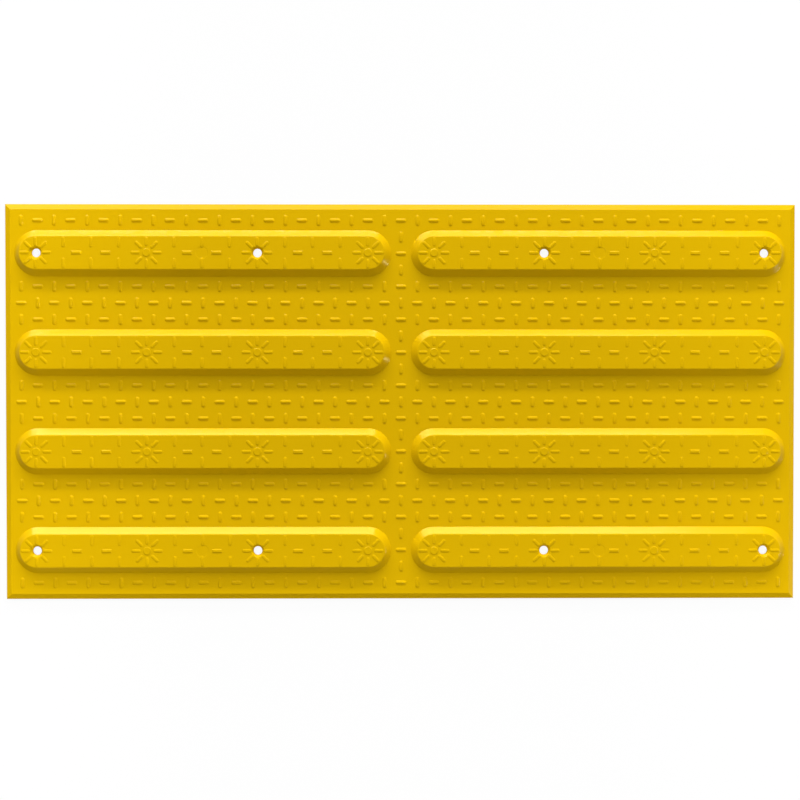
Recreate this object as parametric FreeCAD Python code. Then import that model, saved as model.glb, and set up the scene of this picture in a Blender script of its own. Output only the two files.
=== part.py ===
"""Tactile paving slab: a moulded plastic tile with raised guiding bars.

The tile is one moulding. It lies flat with its underside on the plane z = 0,
its length along X and its width along Y, and the origin is the middle of the
underside. All sizes are in millimetres.

On top is a plate with a bevelled edge, and on it stand bars with sloped flanks
and round ends, in columns and rows that run on from one tile to the next.
Low ridges on a bar's middle line lie between its marked points, some of which
are screw holes. Underneath, every bar is hollow. Its wall keeps one thickness
over the roof and the flanks, and cross ribs inside it reach down to the ground.
"""
import FreeCAD, Part
import math
import os

from FreeCAD import Vector

# Plate, with an upright lip under the bevel
tile_length = 600.0
tile_width = 300.0
plate_thickness = 4.0
lip_height = 2.0
bevel_run = 4.2

# Bars, where a flank's run is its width seen from above
bar_columns = 2
bar_rows = 4
bar_height = 5.0
bar_top_width = 25.0
bar_flank_run = 5.0
bar_end_gap = 15.0
bar_top_rounding = 1.2

# Points along a bar at one pitch, from the centre of one round end to the other
points_per_bar = 4

# Screw holes, at these points of a bar counted from the tile's nearer end
screw_points = (0, 2)
screw_bore = 6.6
screw_mouth = 9.8
screw_mouth_depth = 2.0

# Low ridges on a bar's middle line, two between neighbouring points
ridge_length = 7.8
ridge_width = 3.0
ridge_height = 0.45
ridge_side_run = 0.8
ridge_from_point = 30.6

# Shallow round recess in the middle of an end row's bar, where the moulding was filled
gate_width = 10.0
gate_depth = 0.12
gate_side_run = 0.8

# Hollow back of a bar
bar_wall = 3.0
rib_thickness = 2.5
pockets_per_point = 3

# Places and sizes that follow from the ones above
column_pitch = tile_length / bar_columns
row_pitch = tile_width / bar_rows
end_rows = [(row_pitch - tile_width) / 2, (tile_width - row_pitch) / 2]
bar_top_radius = bar_top_width / 2
bar_foot_radius = bar_top_radius + bar_flank_run
bar_straight = column_pitch - bar_end_gap - 2 * bar_foot_radius
point_pitch = bar_straight / (points_per_bar - 1)
rib_count = pockets_per_point * (points_per_bar - 1)
rib_pitch = point_pitch / pockets_per_point
bar_top = plate_thickness + bar_height
roof_underside = bar_top - bar_wall
flank_run_per_height = bar_flank_run / bar_height
wall_run = bar_wall * math.hypot(1, flank_run_per_height)
roof_radius = bar_top_radius + bar_wall * flank_run_per_height - wall_run
hollow_mouth_radius = roof_radius + roof_underside * flank_run_per_height

overrun = 1.0
same_level = 1e-6
UP = Vector(0, 0, 1)


def spread(count, pitch):
    """Return places at one pitch, centred on zero."""
    return [(index - (count - 1) / 2) * pitch for index in range(count)]


def outline_face(points):
    """Return the flat face inside an outline of straight edges."""
    return Part.Face(Part.makePolygon(points + points[:1]))


def plate_section(span):
    """Return the corners of the plate's section as pairs of distance across and height."""
    half = span / 2
    inner = half - bevel_run
    return [(-half, 0), (half, 0), (half, lip_height), (inner, plate_thickness),
            (-inner, plate_thickness), (-half, lip_height)]


def make_plate():
    """Return the plate as the common part of its two bevelled sections, which mitres the corners."""
    long_start = -tile_length / 2
    wide_start = -tile_width / 2
    end_view = outline_face([Vector(long_start, y, z) for y, z in plate_section(tile_width)])
    side_view = outline_face([Vector(x, wide_start, z) for x, z in plate_section(tile_length)])
    lengthwise = end_view.extrude(Vector(tile_length, 0, 0))
    widthwise = side_view.extrude(Vector(0, tile_width, 0))
    return lengthwise.common(widthwise)


def round_ended_block(low_radius, high_radius, low, high):
    """Return a block with sloped flanks, its section run along the bar and turned at both ends."""
    half = bar_straight / 2
    section = outline_face([Vector(-half, -low_radius, low), Vector(-half, low_radius, low),
                            Vector(-half, high_radius, high), Vector(-half, -high_radius, high)])
    ends = []
    for side in (-1, 1):
        centre = side * half
        half_section = outline_face([Vector(centre, 0, low),
                                     Vector(centre, -side * low_radius, low),
                                     Vector(centre, -side * high_radius, high),
                                     Vector(centre, 0, high)])
        ends.append(half_section.revolve(Vector(centre, 0, 0), UP, 180))
    return section.extrude(Vector(bar_straight, 0, 0)).fuse(ends).removeSplitter()


def copies(shape, places):
    """Return a copy of a shape at each place."""
    result = []
    for x, y in places:
        copy = shape.copy()
        copy.translate(Vector(x, y, 0))
        result.append(copy)
    return result


def level_edges(shape, height):
    """Return the edges of a shape that lie level at a height."""
    return [edge for edge in shape.Edges
            if abs(edge.BoundBox.ZMin - height) < same_level
            and abs(edge.BoundBox.ZMax - height) < same_level]


def make_ridge():
    """Return one low ridge that stands on a bar's top and slopes on all four sides."""
    half_length = ridge_length / 2
    half_width = ridge_width / 2
    ridge = Part.makeWedge(-half_length, bar_top, -half_width,
                           ridge_side_run - half_width, ridge_side_run - half_length,
                           half_length, bar_top + ridge_height, half_width,
                           half_width - ridge_side_run, half_length - ridge_side_run)
    ridge.rotate(Vector(0, 0, 0), Vector(1, 0, 0), 90)
    return ridge


def ridge_places():
    """Return the middles of the ridges on one bar."""
    from_midway = point_pitch / 2 - ridge_from_point
    return [(midway + side * from_midway, 0)
            for midway in spread(points_per_bar - 1, point_pitch) for side in (-1, 1)]


def make_bar():
    """Return one bar, standing on the plate's top, rounded along its upper edge and ridged."""
    bar = round_ended_block(bar_foot_radius, bar_top_radius, plate_thickness, bar_top)
    bar = bar.makeFillet(bar_top_rounding, level_edges(bar, bar_top))
    return bar.fuse(copies(make_ridge(), ridge_places()))


def make_pockets():
    """Return the hollows under one bar, parted by its cross ribs."""
    hollow = round_ended_block(hollow_mouth_radius, roof_radius, 0, roof_underside)
    ribs = [Part.makeBox(rib_thickness, 2 * hollow_mouth_radius, roof_underside,
                         Vector(x - rib_thickness / 2, -hollow_mouth_radius, 0))
            for x in spread(rib_count, rib_pitch)]
    return hollow.cut(ribs)


def make_screw_hole():
    """Return the form of one screw hole, a bore with a wider mouth on top."""
    bore_radius = screw_bore / 2
    mouth_radius = screw_mouth / 2
    profile = outline_face([Vector(radius, 0, height) for radius, height in (
        (0, -overrun),
        (bore_radius, -overrun),
        (bore_radius, bar_top - screw_mouth_depth),
        (mouth_radius, bar_top),
        (mouth_radius, bar_top + overrun),
        (0, bar_top + overrun),
    )])
    return profile.revolve(Vector(0, 0, 0), UP, 360)


def make_gate_recess():
    """Return the form of the recess in the middle of an end row's bar."""
    top_radius = gate_width / 2
    floor_radius = top_radius - gate_side_run
    slope = Part.makeCone(floor_radius, top_radius, gate_depth, Vector(0, 0, bar_top - gate_depth))
    return slope.fuse(Part.makeCylinder(top_radius, overrun, Vector(0, 0, bar_top)))


def screw_places():
    """Return the middles of the screw holes, in the bars of the end rows."""
    places = []
    for side in (-1, 1):
        outer_end = side * (tile_length / 2 - bar_end_gap / 2 - bar_foot_radius)
        for point in screw_points:
            places += [(outer_end - side * point * point_pitch, y) for y in end_rows]
    return places


def make_tile():
    """Return the whole moulding."""
    columns = spread(bar_columns, column_pitch)
    bar_places = [(x, y) for x in columns for y in spread(bar_rows, row_pitch)]
    tile = make_plate().fuse(copies(make_bar(), bar_places)).removeSplitter()
    tile = tile.cut(copies(make_pockets(), bar_places))
    tile = tile.cut(copies(make_gate_recess(), [(x, y) for x in columns for y in end_rows]))
    return tile.cut(copies(make_screw_hole(), screw_places()))


os.makedirs("parts", exist_ok=True)
make_tile().exportStep("parts/tactile_tile.step")
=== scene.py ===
"""Dresses the moulded tactile tile: satin yellow plastic, anti-slip relief and a plain studio."""

import logging
import math
from collections.abc import Callable, Iterable
from dataclasses import dataclass, field
from enum import Enum

import bpy
from mathutils import Euler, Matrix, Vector


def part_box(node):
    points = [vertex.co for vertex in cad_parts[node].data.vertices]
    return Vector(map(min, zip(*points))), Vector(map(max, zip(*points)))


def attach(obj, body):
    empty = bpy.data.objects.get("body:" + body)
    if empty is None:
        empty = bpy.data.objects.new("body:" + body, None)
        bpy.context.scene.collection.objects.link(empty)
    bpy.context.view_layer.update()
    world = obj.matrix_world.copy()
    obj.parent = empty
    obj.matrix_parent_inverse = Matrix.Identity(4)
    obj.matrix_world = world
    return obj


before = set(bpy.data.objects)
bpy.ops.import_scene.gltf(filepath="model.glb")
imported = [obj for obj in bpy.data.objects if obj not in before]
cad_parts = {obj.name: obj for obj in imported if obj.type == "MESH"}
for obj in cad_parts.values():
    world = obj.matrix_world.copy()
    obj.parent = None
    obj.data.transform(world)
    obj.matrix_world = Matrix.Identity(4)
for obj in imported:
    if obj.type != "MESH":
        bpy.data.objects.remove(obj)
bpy.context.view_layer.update()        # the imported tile, which keeps its own place and mesh

log = logging.getLogger("tactile_tile")

MM = 0.001
TILE = "tactile_tile"
BODY = "root"
TILE_LOW, TILE_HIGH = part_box(TILE)

FACING_UP = 0.5          # the least upward part of the normal of a face that looks up
SMOOTH_ANGLE = math.radians(50)
SHARP_ANGLE = math.radians(25)
NARROW_BEAM = math.radians(24)

# Colours of lamps that are only seen in reflection. The plastic's tinted gloss takes out most
# of their blue, and what comes back is a pale sheen.
COOL_SHEEN = (1.0, 1.7, 2.0)
COLD_SHEEN = (1.0, 1.0, 3.0)


class Domain(Enum):
    """The kind of element that is picked in edit mode, by Blender's name for it."""

    VERTEX = "VERT"
    FACE = "FACE"


class Lie(Enum):
    """Which way a dash lies on the tile, as a turn about the upright axis."""

    ACROSS = 0.0
    ALONG = math.pi / 2
    RISING = -math.pi / 4
    FALLING = math.pi / 4


@dataclass(frozen=True)
class TileForm:
    """The main sizes of the tile that the relief is placed by, in metres.

    The length, width and height come from the imported tile's mesh. The rest repeats what that mesh
    can't name.
    """

    length: float = TILE_HIGH.x - TILE_LOW.x
    width: float = TILE_HIGH.y - TILE_LOW.y
    height: float = TILE_HIGH.z
    ridge_height: float = 0.45 * MM
    plate_top: float = 4 * MM
    columns: int = 2
    rows: int = 4
    bar_end_gap: float = 15 * MM
    bar_top_width: float = 25 * MM
    bar_foot_width: float = 35 * MM
    points_per_bar: int = 4
    screw_points: tuple[int, ...] = (0, 2)

    @property
    def bar_top(self) -> float:
        """Height of the bars' top faces, which the tile's own low ridges stand on."""
        return self.height - self.ridge_height

    @property
    def column_pitch(self) -> float:
        """Distance between the middles of two bars in line."""
        return self.length / self.columns

    @property
    def row_pitch(self) -> float:
        """Distance between the middles of two bars side by side."""
        return self.width / self.rows

    @property
    def point_pitch(self) -> float:
        """Distance between two marked points along a bar."""
        straight = self.column_pitch - self.bar_end_gap - self.bar_foot_width
        return straight / (self.points_per_bar - 1)

    def bar_middles(self) -> list[Vector]:
        """Return the middle of every bar's top face."""
        return [Vector((x, y, self.bar_top))
                for x in spread(self.columns, self.column_pitch)
                for y in spread(self.rows, self.row_pitch)]

    def points(self) -> list[tuple[Vector, bool]]:
        """Find the marked points on the bars, counted from the tile's nearer end on each bar.

        Returns:
            Each point's place, and whether a screw hole is there.
        """
        found = []
        last_row = (self.rows - 1) / 2 * self.row_pitch
        for middle in self.bar_middles():
            outwards = math.copysign(1, middle.x)
            for index, along in enumerate(reversed(spread(self.points_per_bar, self.point_pitch))):
                place = middle + Vector((outwards * along, 0, 0))
                end_row = abs(abs(middle.y) - last_row) < MM
                found.append((place, end_row and index in self.screw_points))
        return found


def spread(count: int, pitch: float) -> list[float]:
    """Return places at one pitch, centred on zero.

    Args:
        count: How many places.
        pitch: The distance between two neighbours.

    Returns:
        The places, from the lowest up.
    """
    return [(index - (count - 1) / 2) * pitch for index in range(count)]


def faces_up(place: Vector, normal: Vector) -> bool:
    """Return whether a face looks up, wherever it lies."""
    return normal.z > FACING_UP


def grey(level: float) -> tuple[float, float, float, float]:
    """Return a neutral grey as a shader's colour value."""
    return (level, level, level, 1.0)


class Workbench:
    """Small steps of modelling by hand that every piece here is made with."""

    @staticmethod
    def clear() -> None:
        """Deselect everything, so that the next step acts on new pieces only."""
        if bpy.context.object and bpy.context.object.mode != "OBJECT":
            bpy.ops.object.mode_set(mode="OBJECT")
        bpy.ops.object.select_all(action="DESELECT")

    @classmethod
    def pick(cls, *pieces: bpy.types.Object) -> None:
        """Select some pieces only, the last one active.

        Args:
            pieces: The pieces to select.
        """
        cls.clear()
        for piece in pieces:
            piece.select_set(True)
        bpy.context.view_layer.objects.active = pieces[-1]

    @classmethod
    def select(cls, piece: bpy.types.Object, domain: Domain,
               wanted: Callable[[Vector, Vector], bool]) -> None:
        """Enter edit mode with the vertices or faces selected that a test picks.

        Args:
            piece: The mesh object to edit.
            domain: The kind of element to select.
            wanted: A test of an element's place and normal.
        """
        cls.pick(piece)
        bpy.ops.object.mode_set(mode="EDIT")
        bpy.ops.mesh.select_mode(type=domain.value)
        bpy.ops.mesh.select_all(action="DESELECT")
        bpy.ops.object.mode_set(mode="OBJECT")
        mesh = piece.data
        if domain is Domain.VERTEX:
            for vertex in mesh.vertices:
                vertex.select = wanted(vertex.co, vertex.normal)
        else:
            for face in mesh.polygons:
                face.select = wanted(face.center, face.normal)
        bpy.ops.object.mode_set(mode="EDIT")

    @classmethod
    def disc(cls, radius: float, corners: int, low: float, high: float) -> bpy.types.Object:
        """Add an upright disc round the upright axis.

        Args:
            radius: Its radius.
            corners: How many sides it has.
            low: The height of its underside.
            high: The height of its top face.

        Returns:
            The disc, with its place in its mesh.
        """
        cls.clear()
        bpy.ops.mesh.primitive_cylinder_add(vertices=corners, radius=radius, depth=high - low,
                                            location=(0, 0, (high + low) / 2))
        bpy.ops.object.transform_apply(location=True)
        return bpy.context.object

    @staticmethod
    def draw_in(share: float) -> None:
        """Draw what is selected in to a share of its distance from the upright axis."""
        bpy.ops.transform.resize(value=(share, share, 1), center_override=(0, 0, 0))

    @classmethod
    def placed(cls, pattern: bpy.types.Object, place: Vector,
               turn: float = 0.0) -> bpy.types.Object:
        """Copy a pattern, with a mesh of its own, to a place.

        Args:
            pattern: The piece to copy.
            place: Where its origin goes.
            turn: Its turn about the upright axis.

        Returns:
            The copy, with its place and turn in its mesh.
        """
        cls.pick(pattern)
        bpy.ops.object.duplicate(linked=False)
        copy = bpy.context.object
        copy.rotation_euler.z = turn
        copy.location = place
        bpy.ops.object.transform_apply(location=True, rotation=True, scale=True)
        return copy

    @classmethod
    def row(cls, pattern: bpy.types.Object, first: Vector, count: int, step: Vector,
            turn: float = 0.0) -> bpy.types.Object:
        """Repeat a pattern in a straight row, as one mesh.

        Args:
            pattern: The piece to repeat.
            first: The place of the first copy.
            count: How many copies the row has.
            step: The way from one copy to the next.
            turn: The turn of each copy about the upright axis.

        Returns:
            The row.
        """
        piece = cls.placed(pattern, first, turn)
        array = piece.modifiers.new("row", "ARRAY")
        array.count = count
        array.use_relative_offset = False
        array.use_constant_offset = True
        array.constant_offset_displace = step
        bpy.ops.object.modifier_apply(modifier=array.name)
        return piece

    @classmethod
    def joined(cls, pieces: Iterable[bpy.types.Object], name: str) -> bpy.types.Object:
        """Join pieces into one mesh.

        Args:
            pieces: The pieces to join.
            name: The new piece's name.

        Returns:
            The joined piece.
        """
        cls.pick(*pieces)
        bpy.ops.object.join()
        whole = bpy.context.object
        whole.name = name
        whole.data.name = name
        return whole

    @classmethod
    def drop(cls, piece: bpy.types.Object) -> None:
        """Delete a pattern that has been copied enough."""
        cls.pick(piece)
        bpy.ops.object.delete()


@dataclass(frozen=True)
class SatinPlastic:
    """Yellow plastic, coloured through, as it comes out of a finely blasted mould."""

    colour: tuple[float, float, float] = (0.645, 0.398, 0.0006)
    warmer: tuple[float, float, float] = (0.657, 0.392, 0.0006)
    clouds_a_metre: float = 9.0
    cloud_detail: float = 3.0
    roughness: float = 0.22
    roughness_swing: float = 0.04
    patches_a_metre: float = 60.0
    specular: float = 0.22
    specular_tint: tuple[float, float, float] = (1.0, 0.93, 0.3)
    grain_size: float = 0.35 * MM
    grain_height: float = 0.004 * MM

    def material(self) -> bpy.types.Material:
        """Make the plastic's finish: faint clouds of tone, patches of sheen and a fine grain.

        Returns:
            A procedural material on Object coordinates.
        """
        finish = bpy.data.materials.new("satin_yellow_plastic")
        finish.use_nodes = True
        nodes, links = finish.node_tree.nodes, finish.node_tree.links
        shader = nodes["Principled BSDF"]
        shader.inputs["Specular IOR Level"].default_value = self.specular
        shader.inputs["Specular Tint"].default_value = (*self.specular_tint, 1)
        place = nodes.new("ShaderNodeTexCoord").outputs["Object"]

        tone = nodes.new("ShaderNodeMix")
        tone.data_type = "RGBA"
        tone.inputs["A"].default_value = (*self.colour, 1)
        tone.inputs["B"].default_value = (*self.warmer, 1)
        clouds = self._noise(finish.node_tree, place, self.clouds_a_metre, self.cloud_detail)
        links.new(clouds, tone.inputs["Factor"])
        links.new(tone.outputs["Result"], shader.inputs["Base Color"])

        gloss = nodes.new("ShaderNodeMapRange")
        gloss.inputs["To Min"].default_value = self.roughness - self.roughness_swing
        gloss.inputs["To Max"].default_value = self.roughness + self.roughness_swing
        links.new(self._noise(finish.node_tree, place, self.patches_a_metre),
                  gloss.inputs["Value"])
        links.new(gloss.outputs["Result"], shader.inputs["Roughness"])

        bump = nodes.new("ShaderNodeBump")
        bump.inputs["Strength"].default_value = 1.0
        bump.inputs["Distance"].default_value = self.grain_height
        links.new(self._noise(finish.node_tree, place, 1 / self.grain_size),
                  bump.inputs["Height"])
        links.new(bump.outputs["Normal"], shader.inputs["Normal"])
        return finish

    @staticmethod
    def _noise(tree: bpy.types.NodeTree, place: bpy.types.NodeSocket, scale: float,
               detail: float = 2.0) -> bpy.types.NodeSocket:
        """Add a cloudy pattern.

        Args:
            tree: The material's nodes.
            place: The coordinates that the pattern reads.
            scale: How many of its clouds a metre holds.
            detail: How many finer layers lie over them.

        Returns:
            The pattern, between 0 and 1.
        """
        noise = tree.nodes.new("ShaderNodeTexNoise")
        noise.inputs["Scale"].default_value = scale
        noise.inputs["Detail"].default_value = detail
        tree.links.new(place, noise.inputs["Vector"])
        return noise.outputs["Fac"]


@dataclass(frozen=True)
class RaisedDash:
    """One moulded anti-slip dash: a low round-ended ridge that slopes up from a flatter foot."""

    length: float = 9.4 * MM
    width: float = 4.3 * MM
    foot_run: float = 0.7 * MM
    foot_height: float = 0.14 * MM
    side_run: float = 1.05 * MM
    height: float = 0.66 * MM
    crown: float = 0.25 * MM
    crown_steps: int = 2
    root: float = 0.25 * MM
    corners: int = 14

    @classmethod
    def low(cls, length: float) -> "RaisedDash":
        """Return the lower and slimmer kind of dash that stands on the bars."""
        return cls(length=length, width=3.6 * MM, foot_run=0.5 * MM, foot_height=0.08 * MM,
                   side_run=0.85 * MM, height=0.34 * MM, crown=0.2 * MM)

    def pattern(self) -> bpy.types.Object:
        """Model one dash.

        Returns:
            The dash. It lies across the tile and stands on the level z = 0, with its root below.
        """
        dash = Workbench.disc(self.width / 2, self.corners, -self.root, self.foot_height)
        self._slope_sides(dash)
        self._stretch(dash)
        self._round_top(dash)
        return dash

    def _slope_sides(self, dash: bpy.types.Object) -> None:
        """Draw the top face in over the foot, raise it and draw it in again over the side.

        Args:
            dash: The disc that becomes the dash.
        """
        radius = self.width / 2
        foot_radius = radius - self.foot_run
        rise = (0, 0, self.height - self.foot_height)
        Workbench.select(dash, Domain.FACE, faces_up)
        Workbench.draw_in(foot_radius / radius)
        bpy.ops.mesh.extrude_region_move(TRANSFORM_OT_translate={"value": rise})
        Workbench.draw_in((foot_radius - self.side_run) / foot_radius)
        bpy.ops.object.mode_set(mode="OBJECT")

    def _stretch(self, dash: bpy.types.Object) -> None:
        """Pull both halves apart until the dash has its length.

        Args:
            dash: The dash, still round.
        """
        for side in (-1, 1):
            Workbench.select(dash, Domain.VERTEX, lambda place, normal: side * place.y > 0)
            bpy.ops.transform.translate(value=(0, side * (self.length - self.width) / 2, 0))
            bpy.ops.object.mode_set(mode="OBJECT")

    def _round_top(self, dash: bpy.types.Object) -> None:
        """Round the edge of the top face and smooth the crown.

        Args:
            dash: The dash at its length.
        """
        top = self.height - self.crown / 2
        Workbench.select(dash, Domain.FACE, lambda place, normal: place.z > top)
        bpy.ops.mesh.bevel(offset=self.crown, segments=self.crown_steps, affect="EDGES")
        bpy.ops.object.mode_set(mode="OBJECT")
        bpy.ops.object.shade_smooth_by_angle(angle=SMOOTH_ANGLE)


@dataclass
class PlateDashes:
    """The dashes on the flat of the plate, turned by a quarter from one place to the next.

    Rows are counted from the tile's middle line. Bars cover the barred ones but for the gap
    between the columns.
    """

    form: TileForm
    dash: RaisedDash = RaisedDash()
    pitch: float = 12.5 * MM
    last_column: int = 23
    open_rows: tuple[int, ...] = (-11, -7, -6, -5, -1, 0, 1, 5, 6, 7, 11)
    barred_rows: tuple[int, ...] = (-10, -9, -8, -4, -3, -2, 2, 3, 4, 8, 9, 10)

    def build(self) -> bpy.types.Object:
        """Lay the dashes out over the plate.

        Returns:
            All dashes of the plate as one piece.
        """
        pattern = self.dash.pattern()
        pieces = []
        for row in self.open_rows:
            for lie, odd in ((Lie.ACROSS, row % 2), (Lie.ALONG, 1 - row % 2)):
                last = self.last_column if self.last_column % 2 == odd else self.last_column - 1
                first = Vector((-last * self.pitch, row * self.pitch, self.form.plate_top))
                step = Vector((2 * self.pitch, 0, 0))
                pieces.append(Workbench.row(pattern, first, last + 1, step, lie.value))
        for row in self.barred_rows:
            lie = Lie.ALONG if row % 2 else Lie.ACROSS
            place = Vector((0, row * self.pitch, self.form.plate_top))
            pieces.append(Workbench.placed(pattern, place, lie.value))
        Workbench.drop(pattern)
        return Workbench.joined(pieces, "plate_dashes")


@dataclass
class BarDashes:
    """The pairs of dashes that run in from both edges of a bar's top."""

    form: TileForm
    dash: RaisedDash = RaisedDash.low(9.0 * MM)
    edge_inset: float = 4.6 * MM
    steps_per_point: int = 4

    def build(self) -> bpy.types.Object:
        """Make the dashes of one bar and copy them to every bar.

        Returns:
            The dashes of all bars as one piece.
        """
        pattern = self.dash.pattern()
        one_bar = Workbench.joined(self._pairs(pattern), "bar_pattern")
        bars = [Workbench.placed(one_bar, middle) for middle in self.form.bar_middles()]
        Workbench.drop(pattern)
        Workbench.drop(one_bar)
        return Workbench.joined(bars, "bar_dashes")

    def _pairs(self, pattern: bpy.types.Object) -> list[bpy.types.Object]:
        """Lay out the pairs of one bar, between its marked points.

        Args:
            pattern: The dash to repeat.

        Returns:
            Rows of dashes along both edges, round the origin.
        """
        step = self.form.point_pitch / self.steps_per_point
        from_middle = self.form.bar_top_width / 2 - self.edge_inset
        pieces = []
        for gap in spread(self.form.points_per_bar - 1, self.form.point_pitch):
            for side in (-1, 1):
                first = Vector((gap - step, side * from_middle, 0))
                pieces.append(Workbench.row(pattern, first, self.steps_per_point - 1,
                                            Vector((step, 0, 0)), Lie.ACROSS.value))
        return pieces


@dataclass
class Sunbursts:
    """The marked points of the bars: eight rays, round a ring or round a screw hole."""

    form: TileForm
    ray: RaisedDash = RaisedDash.low(8.0 * MM)
    ray_middle: float = 8.3 * MM
    ring_radius: float = 3.6 * MM
    ring_side_run: float = 0.85 * MM
    ring_land: float = 0.6 * MM
    ring_bowl: float = 0.04 * MM
    ring_corners: int = 32

    def build(self) -> list[bpy.types.Object]:
        """Set rays at every marked point, and a ring where there is no screw hole.

        Returns:
            The rays of all points as one piece, and the rings as another.
        """
        star = self._star()
        ring = self._ring()
        stars, rings = [], []
        for place, has_screw in self.form.points():
            stars.append(Workbench.placed(star, place))
            if not has_screw:
                rings.append(Workbench.placed(ring, place))
        Workbench.drop(star)
        Workbench.drop(ring)
        return [Workbench.joined(stars, "sunburst_rays"), Workbench.joined(rings, "sunburst_rings")]

    def _star(self) -> bpy.types.Object:
        """Set eight rays round the origin, two for each way that a dash can lie.

        Returns:
            The rays as one piece.
        """
        pattern = self.ray.pattern()
        ways = {Lie.ACROSS: math.pi / 2, Lie.ALONG: 0.0,
                Lie.RISING: math.pi / 4, Lie.FALLING: -math.pi / 4}
        rays = []
        for lie, angle in ways.items():
            way = Vector((math.cos(angle), math.sin(angle), 0)) * self.ray_middle
            for side in (-1, 1):
                rays.append(Workbench.placed(pattern, side * way, lie.value))
        Workbench.drop(pattern)
        return Workbench.joined(rays, "star_pattern")

    def _ring(self) -> bpy.types.Object:
        """Model one low ring with a shallow bowl inside it, as high as the rays.

        Returns:
            The ring, round the origin.
        """
        ring = Workbench.disc(self.ring_radius, self.ring_corners, -self.ray.root, self.ray.height)
        Workbench.select(ring, Domain.FACE, faces_up)
        Workbench.draw_in((self.ring_radius - self.ring_side_run) / self.ring_radius)
        bpy.ops.mesh.inset(thickness=self.ring_land, depth=0)
        bpy.ops.mesh.inset(thickness=self.ring_side_run, depth=-self.ring_bowl)
        bpy.ops.object.mode_set(mode="OBJECT")
        edge = ring.modifiers.new("edge", "BEVEL")
        edge.width = self.ray.crown
        edge.segments = self.ray.crown_steps
        edge.limit_method = "ANGLE"
        edge.angle_limit = SHARP_ANGLE
        bpy.ops.object.modifier_apply(modifier=edge.name)
        bpy.ops.object.shade_smooth_by_angle(angle=SMOOTH_ANGLE)
        return ring


@dataclass(frozen=True)
class Softbox:
    """One rectangular studio lamp, whose glow is how bright its face is."""

    name: str
    place: Vector
    size: tuple[float, float]
    glow: float
    aim: Vector = field(default_factory=lambda: Vector((0, 0, 0)))
    colour: tuple[float, float, float] = (1.0, 1.0, 1.0)
    spread: float = math.pi
    lights_surfaces: bool = True
    seen_in_gloss: bool = True
    casts_shadow: bool = True

    def build(self) -> bpy.types.Object:
        """Set up the lamp, its power worked out from its glow and size.

        Returns:
            The lamp's object.
        """
        lamp = bpy.data.lights.new(self.name, "AREA")
        lamp.shape = "RECTANGLE"
        lamp.size, lamp.size_y = self.size
        lamp.energy = self.glow * math.pi * self.size[0] * self.size[1]
        lamp.color = self.colour
        lamp.spread = self.spread
        lamp.use_shadow = self.casts_shadow
        holder = bpy.data.objects.new(self.name, lamp)
        holder.location = self.place
        holder.rotation_euler = (self.aim - self.place).to_track_quat("-Z", "Y").to_euler()
        holder.visible_camera = False
        holder.visible_diffuse = self.lights_surfaces
        holder.visible_glossy = self.seen_in_gloss
        bpy.context.scene.collection.objects.link(holder)
        return holder


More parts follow.
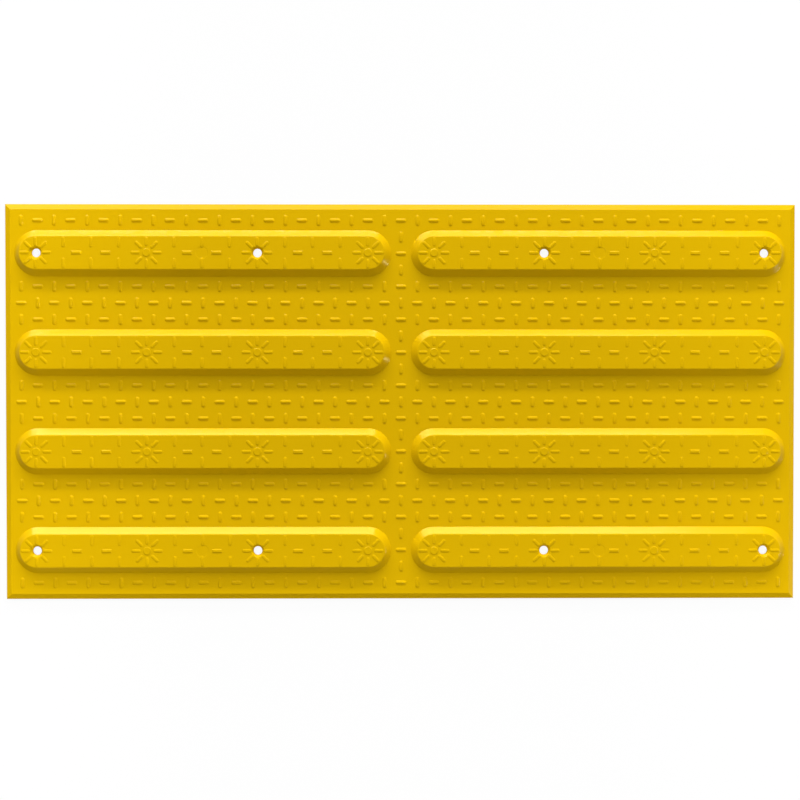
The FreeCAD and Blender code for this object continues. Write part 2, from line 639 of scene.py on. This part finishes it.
@dataclass
class Studio:
    """The white floor, the lamps and the camera that looks down on the tile."""

    floor_size: float = 12.0
    floor_drop: float = 0.2 * MM
    floor_white: float = 0.93
    floor_grey_seen: float = 0.8
    floor_grey_unseen: float = 0.1
    floor_roughness: float = 0.9
    white_in_gloss: float = 0.1
    sky: float = 0.35
    camera_place: Vector = field(default_factory=lambda: Vector((-0.00617, 0.01165, 0.8063)))
    camera_turn: tuple[float, float, float] = (-0.0127, -0.0068, -0.0001)
    lens_pixels: float = 1056.2
    image_pixels: int = 800

    def build(self) -> None:
        """Set up the floor, the world, the lamps and the camera."""
        self._floor()
        self._world()
        self._camera()
        for lamp in self._lamps():
            lamp.build()
        bpy.context.scene.view_settings.view_transform = "Standard"

    def _floor(self) -> None:
        """Lay the floor just under the tile, out of the way of the light from below."""
        Workbench.clear()
        bpy.ops.mesh.primitive_plane_add(size=self.floor_size, location=(0, 0, -self.floor_drop))
        bpy.ops.object.transform_apply(location=True)
        floor = bpy.context.object
        floor.name = "studio_floor"
        floor.data.materials.append(self._floor_finish())
        floor.visible_diffuse = False
        floor.visible_shadow = False

    def _floor_finish(self) -> bpy.types.Material:
        """Make the floor's finish: white with the tile's soft shadow, and clear from below.

        Returns:
            The floor's material.
        """
        finish = bpy.data.materials.new("studio_white")
        finish.use_nodes = True
        tree = finish.node_tree
        nodes, links = tree.nodes, tree.links
        seen = self._seen(tree)
        tone = nodes.new("ShaderNodeMix")
        tone.data_type = "RGBA"
        tone.inputs["A"].default_value = grey(self.floor_grey_unseen)
        tone.inputs["B"].default_value = grey(self.floor_grey_seen)
        links.new(seen, tone.inputs["Factor"])
        shader = nodes["Principled BSDF"]
        shader.inputs["Roughness"].default_value = self.floor_roughness
        shader.inputs["Specular IOR Level"].default_value = 0.0
        links.new(tone.outputs["Result"], shader.inputs["Base Color"])
        glow = nodes.new("ShaderNodeEmission")
        glow.inputs["Strength"].default_value = 1.0
        white = self._mixed(tree, self._scaled(tree, seen, self.floor_white),
                            shader.outputs["BSDF"], glow.outputs["Emission"])
        clear = nodes.new("ShaderNodeBsdfTransparent")
        from_below = nodes.new("ShaderNodeNewGeometry").outputs["Backfacing"]
        both_sides = self._mixed(tree, from_below, white, clear.outputs["BSDF"])
        links.new(both_sides, nodes["Material Output"].inputs["Surface"])
        return finish

    @staticmethod
    def _mixed(tree: bpy.types.NodeTree, share: bpy.types.NodeSocket,
               first: bpy.types.NodeSocket, second: bpy.types.NodeSocket) -> bpy.types.NodeSocket:
        """Add a mix of two shaders.

        Args:
            tree: The nodes of the material.
            share: How much of the second shader there is.
            first: The shader at a share of 0.
            second: The shader at a share of 1.

        Returns:
            The mixed shader.
        """
        mix = tree.nodes.new("ShaderNodeMixShader")
        for source, target in zip((share, first, second), mix.inputs):
            tree.links.new(source, target)
        return mix.outputs["Shader"]

    @staticmethod
    def _scaled(tree: bpy.types.NodeTree, value: bpy.types.NodeSocket,
                factor: float) -> bpy.types.NodeSocket:
        """Add a multiplication.

        Args:
            tree: The nodes of the floor or of the world.
            value: What is multiplied.
            factor: What it is multiplied by.

        Returns:
            The product.
        """
        product = tree.nodes.new("ShaderNodeMath")
        product.operation = "MULTIPLY"
        product.inputs[1].default_value = factor
        tree.links.new(value, product.inputs[0])
        return product.outputs[0]

    def _seen(self, tree: bpy.types.NodeTree) -> bpy.types.NodeSocket:
        """Add nodes that tell how much of the white background a ray gets to see.

        Args:
            tree: The nodes of the floor or of the world.

        Returns:
            1 for rays from the camera or through glass, less for reflections and 0 for light.
        """
        rays = tree.nodes.new("ShaderNodeLightPath")
        dulled = self._scaled(tree, rays.outputs["Is Glossy Ray"], self.white_in_gloss)
        seen = rays.outputs["Is Camera Ray"]
        for other in (dulled, rays.outputs["Is Transmission Ray"]):
            either = tree.nodes.new("ShaderNodeMath")
            either.operation = "MAXIMUM"
            tree.links.new(seen, either.inputs[0])
            tree.links.new(other, either.inputs[1])
            seen = either.outputs[0]
        return seen

    def _world(self) -> None:
        """Give the room an even, weak glow, which the camera sees as white."""
        world = bpy.data.worlds.new("studio_sky")
        bpy.context.scene.world = world
        world.use_nodes = True
        tree = world.node_tree
        background = tree.nodes["Background"]
        background.inputs["Color"].default_value = grey(1.0)
        strength = tree.nodes.new("ShaderNodeMapRange")
        strength.inputs["To Min"].default_value = self.sky
        strength.inputs["To Max"].default_value = 1.0
        tree.links.new(self._seen(tree), strength.inputs["Value"])
        tree.links.new(strength.outputs["Result"], background.inputs["Strength"])
        world.cycles_visibility.glossy = False

    def _lamps(self) -> list[Softbox]:
        """Choose the lamps: the main ones past the far edge, and small ones that even them out.

        Returns:
            The lamps, not yet set up.
        """
        return [
            # The main light and a lower one, both of which the far flanks face
            Softbox("key_light", Vector((0.0, 3.6, 2.35)), (7.2, 3.0), 2.9,
                    seen_in_gloss=False),
            Softbox("low_light", Vector((0.0, 3.6, 1.05)), (5.5, 0.28), 29.5,
                    seen_in_gloss=False),
            # A sheen on the far flanks, and a weaker one on the far bevel
            Softbox("horizon_strip", Vector((-0.65, 2.6, 0.32)), (3.2, 0.62), 8.0,
                    aim=Vector((-0.65, 0.0, 0.32)), colour=COOL_SHEEN, lights_surfaces=False),
            Softbox("high_strip", Vector((-0.6, 2.6, 1.42)), (3.2, 0.5), 2.0,
                    colour=COLD_SHEEN, lights_surfaces=False),
            # Narrow beams from above on the tile's ends and long sides
            Softbox("left_end_light", Vector((0.45, 0.0, 1.15)), (0.9, 0.06), 2.25,
                    aim=Vector((-0.48, 0.0, 0.0)), spread=NARROW_BEAM, seen_in_gloss=False),
            Softbox("right_end_light", Vector((-0.45, 0.0, 1.15)), (0.9, 0.06), 1.5,
                    aim=Vector((0.48, 0.0, 0.0)), spread=NARROW_BEAM, seen_in_gloss=False),
            Softbox("far_side_light", Vector((0.0, 0.0, 1.2)), (1.1, 0.06), 0.55,
                    aim=Vector((0.0, 0.26, 0.0)), spread=NARROW_BEAM, seen_in_gloss=False),
            Softbox("near_side_light", Vector((0.0, 0.0, 1.2)), (1.1, 0.06), 0.65,
                    aim=Vector((0.0, -0.26, 0.0)), spread=NARROW_BEAM, seen_in_gloss=False),
            # Low lights for the bars' right ends and near flanks
            Softbox("right_low_light", Vector((1.6, 0.0, 0.12)), (0.2, 1.0), 5.0,
                    aim=Vector((0.0, 0.0, 0.05)), seen_in_gloss=False, casts_shadow=False),
            Softbox("near_strip", Vector((0.1, -0.36, 0.24)), (1.0, 0.06), 1.65,
                    aim=Vector((0.1, -0.10, 0.0)), seen_in_gloss=False),
            # A small glint on the bars' right ends
            Softbox("glint_light", Vector((0.95, -0.29, 0.045)), (0.11, 0.11), 40.0,
                    aim=Vector((0.2, 0.0, 0.0)), lights_surfaces=False),
        ]

    def _camera(self) -> None:
        """Place the camera over the tile, with the lens that frames it as the photograph does."""
        eye = bpy.data.cameras.new("overhead_camera")
        eye.sensor_fit = "HORIZONTAL"
        eye.lens = self.lens_pixels * eye.sensor_width / self.image_pixels
        holder = bpy.data.objects.new("overhead_camera", eye)
        holder.location = self.camera_place
        holder.rotation_euler = Euler(self.camera_turn, "XYZ")
        bpy.context.scene.collection.objects.link(holder)
        bpy.context.scene.camera = holder


def dress_tile(finish: bpy.types.Material) -> None:
    """Give the tile itself the plastic's finish.

    Args:
        finish: The plastic it is moulded in.
    """
    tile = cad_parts[TILE]
    for slot in tile.material_slots:
        slot.material = finish


def settle(piece: bpy.types.Object, finish: bpy.types.Material) -> None:
    """Finish a piece of relief and fix it to the tile.

    Args:
        piece: The relief, in its place.
        finish: The plastic it is moulded in.
    """
    piece.data.materials.clear()
    piece.data.materials.append(finish)
    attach(piece, BODY)
    log.info("%s: %d faces", piece.name, len(piece.data.polygons))


def main() -> None:
    """Build the studio and every piece of relief, and report each one."""
    logging.basicConfig(level=logging.INFO, format="%(name)s: %(message)s")
    Studio().build()
    form = TileForm()
    plastic = SatinPlastic().material()
    dress_tile(plastic)
    settle(PlateDashes(form).build(), plastic)
    settle(BarDashes(form).build(), plastic)
    for piece in Sunbursts(form).build():
        settle(piece, plastic)


if __name__ == "__main__":
    main()
